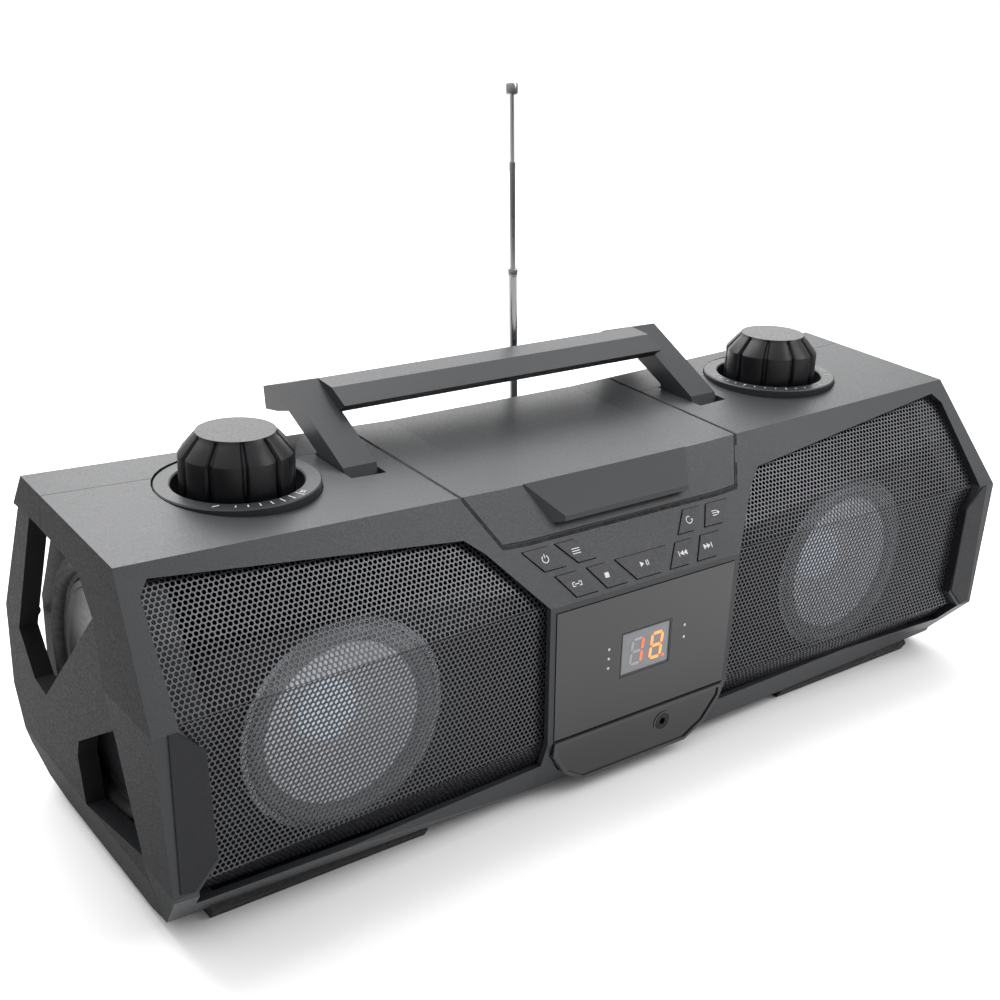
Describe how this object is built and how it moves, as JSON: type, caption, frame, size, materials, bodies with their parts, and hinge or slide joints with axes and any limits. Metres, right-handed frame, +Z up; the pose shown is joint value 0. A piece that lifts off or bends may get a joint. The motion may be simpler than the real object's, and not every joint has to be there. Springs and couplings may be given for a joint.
{
  "type": "portable boombox",
  "caption": "Long faceted portable stereo with top-loading disc lid, sloped key band, perforated grilles, side bass radiators, carrying handle, large knobs and whip antenna.",
  "frame": {"origin": "centre of the bounding box in plan, on the surface the feet rest on", "axes": "+X along the length to the listener's right as seen from the front, -Y the front, +Z up"},
  "size_m": [0.512, 0.19, 0.3214],
  "materials": {
    "shell": "fine textured",
    "black_plastic": "satin",
    "gloss_panel": "gloss",
    "display_glass": "gloss",
    "grille_metal": "satin",
    "cone": "matte",
    "rubber": "matte",
    "chrome": "polished",
    "steel": "satin",
    "circuit_board": "satin"
  },
  "bodies": {
    "cabinet": {"ac_inlet": "black_plastic", "chin_cover": "black_plastic", "disc_well": "black_plastic", "display_module": "display_glass", "display_panel": "gloss_panel", "front_left_foot": "rubber", "front_right_foot": "rubber", "front_shell": "shell", "headphone_jack": "black_plastic", "left_baffle": "black_plastic", "left_end_guard": "shell", "left_grille": "grille_metal", "left_handle_pin": "steel", "left_radiator_surround": "rubber", "left_speaker_basket": "steel", "left_speaker_magnet": "steel", "left_speaker_surround": "rubber", "lid_hinge_pin": "steel", "main_board": "circuit_board", "power_transformer": "steel", "rear_left_foot": "rubber", "rear_right_foot": "rubber", "rear_shell": "shell", "right_baffle": "black_plastic", "right_end_guard": "shell", "right_grille": "grille_metal", "right_handle_pin": "steel", "right_radiator_surround": "rubber", "right_speaker_basket": "steel", "right_speaker_magnet": "steel", "right_speaker_surround": "rubber", "tuning_control": "steel", "tuning_dial_ring": "black_plastic", "volume_control": "steel", "volume_dial_ring": "black_plastic"},
    "disc_lid": {"disc_lid": "shell"},
    "carry_handle": {"carry_handle": "shell"},
    "volume_knob": {"volume_knob": "black_plastic"},
    "tuning_knob": {"tuning_knob": "black_plastic"},
    "disc_spindle": {"disc_spindle": "black_plastic"},
    "laser_sled": {"laser_sled": "black_plastic"},
    "battery_cover": {"battery_cover": "shell"},
    "antenna_swivel": {"antenna_swivel": "black_plastic"},
    "antenna_tube": {"antenna_tube": "chrome"},
    "antenna_middle": {"antenna_middle": "chrome"},
    "antenna_rod": {"antenna_rod": "chrome"},
    "left_speaker_cone": {"left_speaker_cone": "cone"},
    "right_speaker_cone": {"right_speaker_cone": "cone"},
    "left_radiator_plate": {"left_radiator_plate": "black_plastic"},
    "right_radiator_plate": {"right_radiator_plate": "black_plastic"},
    "button_next": {"button_next": "black_plastic"},
    "button_pair": {"button_pair": "black_plastic"},
    "button_play": {"button_play": "black_plastic"},
    "button_power": {"button_power": "black_plastic"},
    "button_previous": {"button_previous": "black_plastic"},
    "button_program": {"button_program": "black_plastic"},
    "button_repeat": {"button_repeat": "black_plastic"},
    "button_source": {"button_source": "black_plastic"},
    "button_stop": {"button_stop": "black_plastic"}
  },
  "joints": [
    {"name": "lid_hinge", "type": "hinge", "parent": "cabinet", "child": "disc_lid", "pos_m": [0, 0.048, 0.15], "axis": [-1, 0, 0], "range_deg": [0, 32]},
    {"name": "handle_fold", "type": "hinge", "parent": "cabinet", "child": "carry_handle", "pos_m": [0, 0.008, 0.15], "axis": [-1, 0, 0], "range_deg": [-57, 0]},
    {"name": "volume_turn", "type": "hinge", "parent": "cabinet", "child": "volume_knob", "pos_m": [-0.1688, 0.005, 0.165], "axis": [0, 0, -1], "range_deg": [-140, 140]},
    {"name": "tuning_turn", "type": "hinge", "parent": "cabinet", "child": "tuning_knob", "pos_m": [0.1688, 0.005, 0.165], "axis": [0, 0, -1], "range_deg": [-140, 140]},
    {"name": "next_press", "type": "slide", "parent": "cabinet", "child": "button_next", "axis": [0, 0.7959, -0.6054], "range_m": [0, 0.0012], "stiffness_N_per_m": 900},
    {"name": "pair_press", "type": "slide", "parent": "cabinet", "child": "button_pair", "axis": [0, 0.7959, -0.6054], "range_m": [0, 0.0012], "stiffness_N_per_m": 900},
    {"name": "play_press", "type": "slide", "parent": "cabinet", "child": "button_play", "axis": [0, 0.7959, -0.6054], "range_m": [0, 0.0012], "stiffness_N_per_m": 900},
    {"name": "power_press", "type": "slide", "parent": "cabinet", "child": "button_power", "axis": [0, 0.7959, -0.6054], "range_m": [0, 0.0012], "stiffness_N_per_m": 900},
    {"name": "previous_press", "type": "slide", "parent": "cabinet", "child": "button_previous", "axis": [0, 0.7959, -0.6054], "range_m": [0, 0.0012], "stiffness_N_per_m": 900},
    {"name": "program_press", "type": "slide", "parent": "cabinet", "child": "button_program", "axis": [0, 0.7959, -0.6054], "range_m": [0, 0.0012], "stiffness_N_per_m": 900},
    {"name": "repeat_press", "type": "slide", "parent": "cabinet", "child": "button_repeat", "axis": [0, 0.7959, -0.6054], "range_m": [0, 0.0012], "stiffness_N_per_m": 900},
    {"name": "source_press", "type": "slide", "parent": "cabinet", "child": "button_source", "axis": [0, 0.7959, -0.6054], "range_m": [0, 0.0012], "stiffness_N_per_m": 900},
    {"name": "stop_press", "type": "slide", "parent": "cabinet", "child": "button_stop", "axis": [0, 0.7959, -0.6054], "range_m": [0, 0.0012], "stiffness_N_per_m": 900},
    {"name": "spindle_spin", "type": "hinge", "parent": "cabinet", "child": "disc_spindle", "pos_m": [0, -0.0035, 0.125], "axis": [0, 0, 1], "continuous": true},
    {"name": "laser_travel", "type": "slide", "parent": "cabinet", "child": "laser_sled", "axis": [1, 0, 0], "range_m": [0, 0.02]},
    {"name": "battery_cover_pull", "type": "slide", "parent": "cabinet", "child": "battery_cover", "axis": [0, 1, 0], "range_m": [0, 0.04]},
    {"name": "antenna_turn", "type": "hinge", "parent": "cabinet", "child": "antenna_swivel", "pos_m": [0.033, 0.0685, 0.134], "axis": [0, 0, 1], "range_deg": [0, 350]},
    {"name": "antenna_tilt", "type": "hinge", "parent": "antenna_swivel", "child": "antenna_tube", "pos_m": [0.033, 0.0685, 0.134], "axis": [1, 0, 0], "range_deg": [-86, 0]},
    {"name": "antenna_middle_slide", "type": "slide", "parent": "antenna_tube", "child": "antenna_middle", "axis": [0, -0.0593, -0.9982], "range_m": [0, 0.05]},
    {"name": "antenna_rod_slide", "type": "slide", "parent": "antenna_middle", "child": "antenna_rod", "axis": [0, -0.0593, -0.9982], "range_m": [0, 0.034]},
    {"name": "left_cone_stroke", "type": "slide", "parent": "cabinet", "child": "left_speaker_cone", "axis": [0, -1, 0], "range_m": [-0.0015, 0.0015], "stiffness_N_per_m": 1500},
    {"name": "left_radiator_stroke", "type": "slide", "parent": "cabinet", "child": "left_radiator_plate", "axis": [-1, 0, 0], "range_m": [-0.0005, 0.002], "stiffness_N_per_m": 1200},
    {"name": "right_cone_stroke", "type": "slide", "parent": "cabinet", "child": "right_speaker_cone", "axis": [0, -1, 0], "range_m": [-0.0015, 0.0015], "stiffness_N_per_m": 1500},
    {"name": "right_radiator_stroke", "type": "slide", "parent": "cabinet", "child": "right_radiator_plate", "axis": [1, 0, 0], "range_m": [-0.0005, 0.002], "stiffness_N_per_m": 1200}
  ]
}
